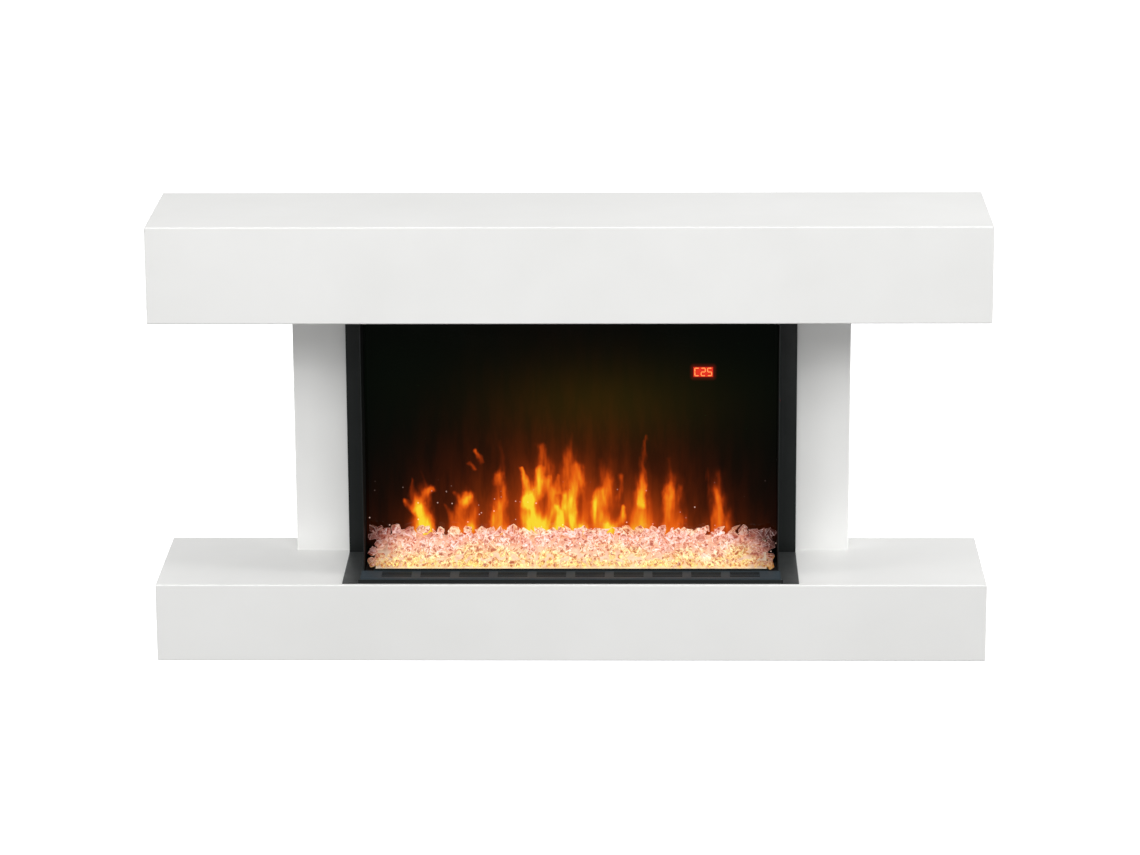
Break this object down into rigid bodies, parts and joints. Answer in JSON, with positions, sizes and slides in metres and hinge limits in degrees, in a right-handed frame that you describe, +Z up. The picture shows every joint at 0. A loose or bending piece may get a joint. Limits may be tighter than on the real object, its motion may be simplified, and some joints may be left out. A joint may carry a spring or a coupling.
{
  "type": "electric fireplace",
  "caption": "Wall-hung electric fireplace: white mantel and hearth boxes on hollow legs round a black flame-effect fire with a crystal bed, a fan heater and side controls.",
  "frame": {"origin": "centre of the footprint, on the underside of the hearth box", "axes": "+X to the right of a person facing the fire, +Y to the wall, +Z up"},
  "size_m": [0.99, 0.2, 0.53],
  "materials": {
    "white_board": "MDF board, sprayed smooth satin white",
    "raw_board": "bare MDF and softwood",
    "screw_steel": "zinc-plated",
    "bracket_steel": "zinc-plated, formed sheet",
    "black_case": "satin black powder coat",
    "grey_case": "dark grey powder coat",
    "trim_black": "satin black powder coat, folded sheet",
    "smoked_screen": "smoked high-gloss acrylic",
    "stencil_steel": "plain coated sheet",
    "crystal": "clear crushed glass, lit from below",
    "ember_acrylic": "frosted translucent acrylic",
    "led_board": "white solder mask with diodes",
    "foil": "bright reflective foil",
    "shaft_steel": "ground steel",
    "galvanised": "galvanised sheet",
    "motor_steel": "laminated stack, varnished",
    "nylon": "natural nylon",
    "display": "red seven-segment display module",
    "circuit_board": "green solder mask with components",
    "black_plastic": "fine-textured black moulding",
    "button_grey": "light grey moulding",
    "rocker_red": "glossy red moulding",
    "heater": "finned ceramic heater",
    "rubber": "black grommet rubber"
  },
  "bodies": {
    "suite": {"mantel_top_board": "white_board", "mantel_front_board": "white_board", "mantel_left_end_board": "white_board", "mantel_right_end_board": "white_board", "mantel_bottom_board": "white_board", "mantel_back_rail": "raw_board", "hearth_top_board": "white_board", "hearth_front_board": "white_board", "hearth_left_end_board": "white_board", "hearth_right_end_board": "white_board", "hearth_bottom_board": "white_board", "hearth_back_rail": "raw_board", "left_leg_front_board": "white_board", "left_leg_outer_board": "white_board", "left_leg_inner_board": "white_board", "right_leg_front_board": "white_board", "right_leg_outer_board": "white_board", "right_leg_inner_board": "white_board", "glue_blocks": "raw_board", "leg_fixing_screws": "screw_steel", "wall_bracket": "bracket_steel", "hanging_hooks": "bracket_steel", "case_floor_tub": "grey_case", "case_left_side": "black_case", "case_right_side": "black_case", "case_back_panel": "grey_case", "case_top_panel": "black_case", "left_side_trim": "trim_black", "right_side_trim": "trim_black", "front_lip": "trim_black", "air_grille": "trim_black", "trim_screws": "screw_steel", "flame_screen": "smoked_screen", "flame_stencil_plate": "stencil_steel", "crystal_bed": "crystal", "fuel_bed_tray": "black_case", "ember_panel": "ember_acrylic", "ember_led_strip": "led_board", "spindle_motor": "galvanised", "spindle_bush": "nylon", "flame_led_strip": "led_board", "temperature_display": "display", "remote_receiver": "black_plastic", "control_board": "circuit_board", "blower_housing": "galvanised", "blower_motor": "motor_steel", "blower_bush": "nylon", "heating_element": "heater", "thermal_cutout": "heater", "control_panel": "black_plastic", "rocker_housing": "black_plastic", "button_board": "circuit_board", "cable_grommets": "rubber"},
    "blower": {"blower_wheel": "galvanised", "blower_shaft": "shaft_steel"},
    "spindle": {"spindle_shaft": "shaft_steel", "spindle_foils": "foil"},
    "rocker": {"rocker_paddle": "rocker_red"},
    "heat_button": {"heat_button": "button_grey"},
    "flame_button": {"flame_button": "button_grey"}
  },
  "joints": [
    {"name": "blower_spin", "type": "hinge", "parent": "suite", "child": "blower", "pos_m": [0, -0.054, 0.046], "axis": [1, 0, 0], "continuous": true},
    {"name": "spindle_spin", "type": "hinge", "parent": "suite", "child": "spindle", "pos_m": [0, 0.044, 0.122], "axis": [1, 0, 0], "continuous": true},
    {"name": "power_rocker", "type": "hinge", "parent": "suite", "child": "rocker", "pos_m": [0.2467, 0.011, 0.287], "axis": [0, 1, 0], "range_deg": [-16, 0]},
    {"name": "heat_button_press", "type": "slide", "parent": "suite", "child": "heat_button", "axis": [-1, 0, 0], "range_m": [0, 0.0015], "stiffness_N_per_m": 400},
    {"name": "flame_button_press", "type": "slide", "parent": "suite", "child": "flame_button", "axis": [-1, 0, 0], "range_m": [0, 0.0015], "stiffness_N_per_m": 400}
  ]
}
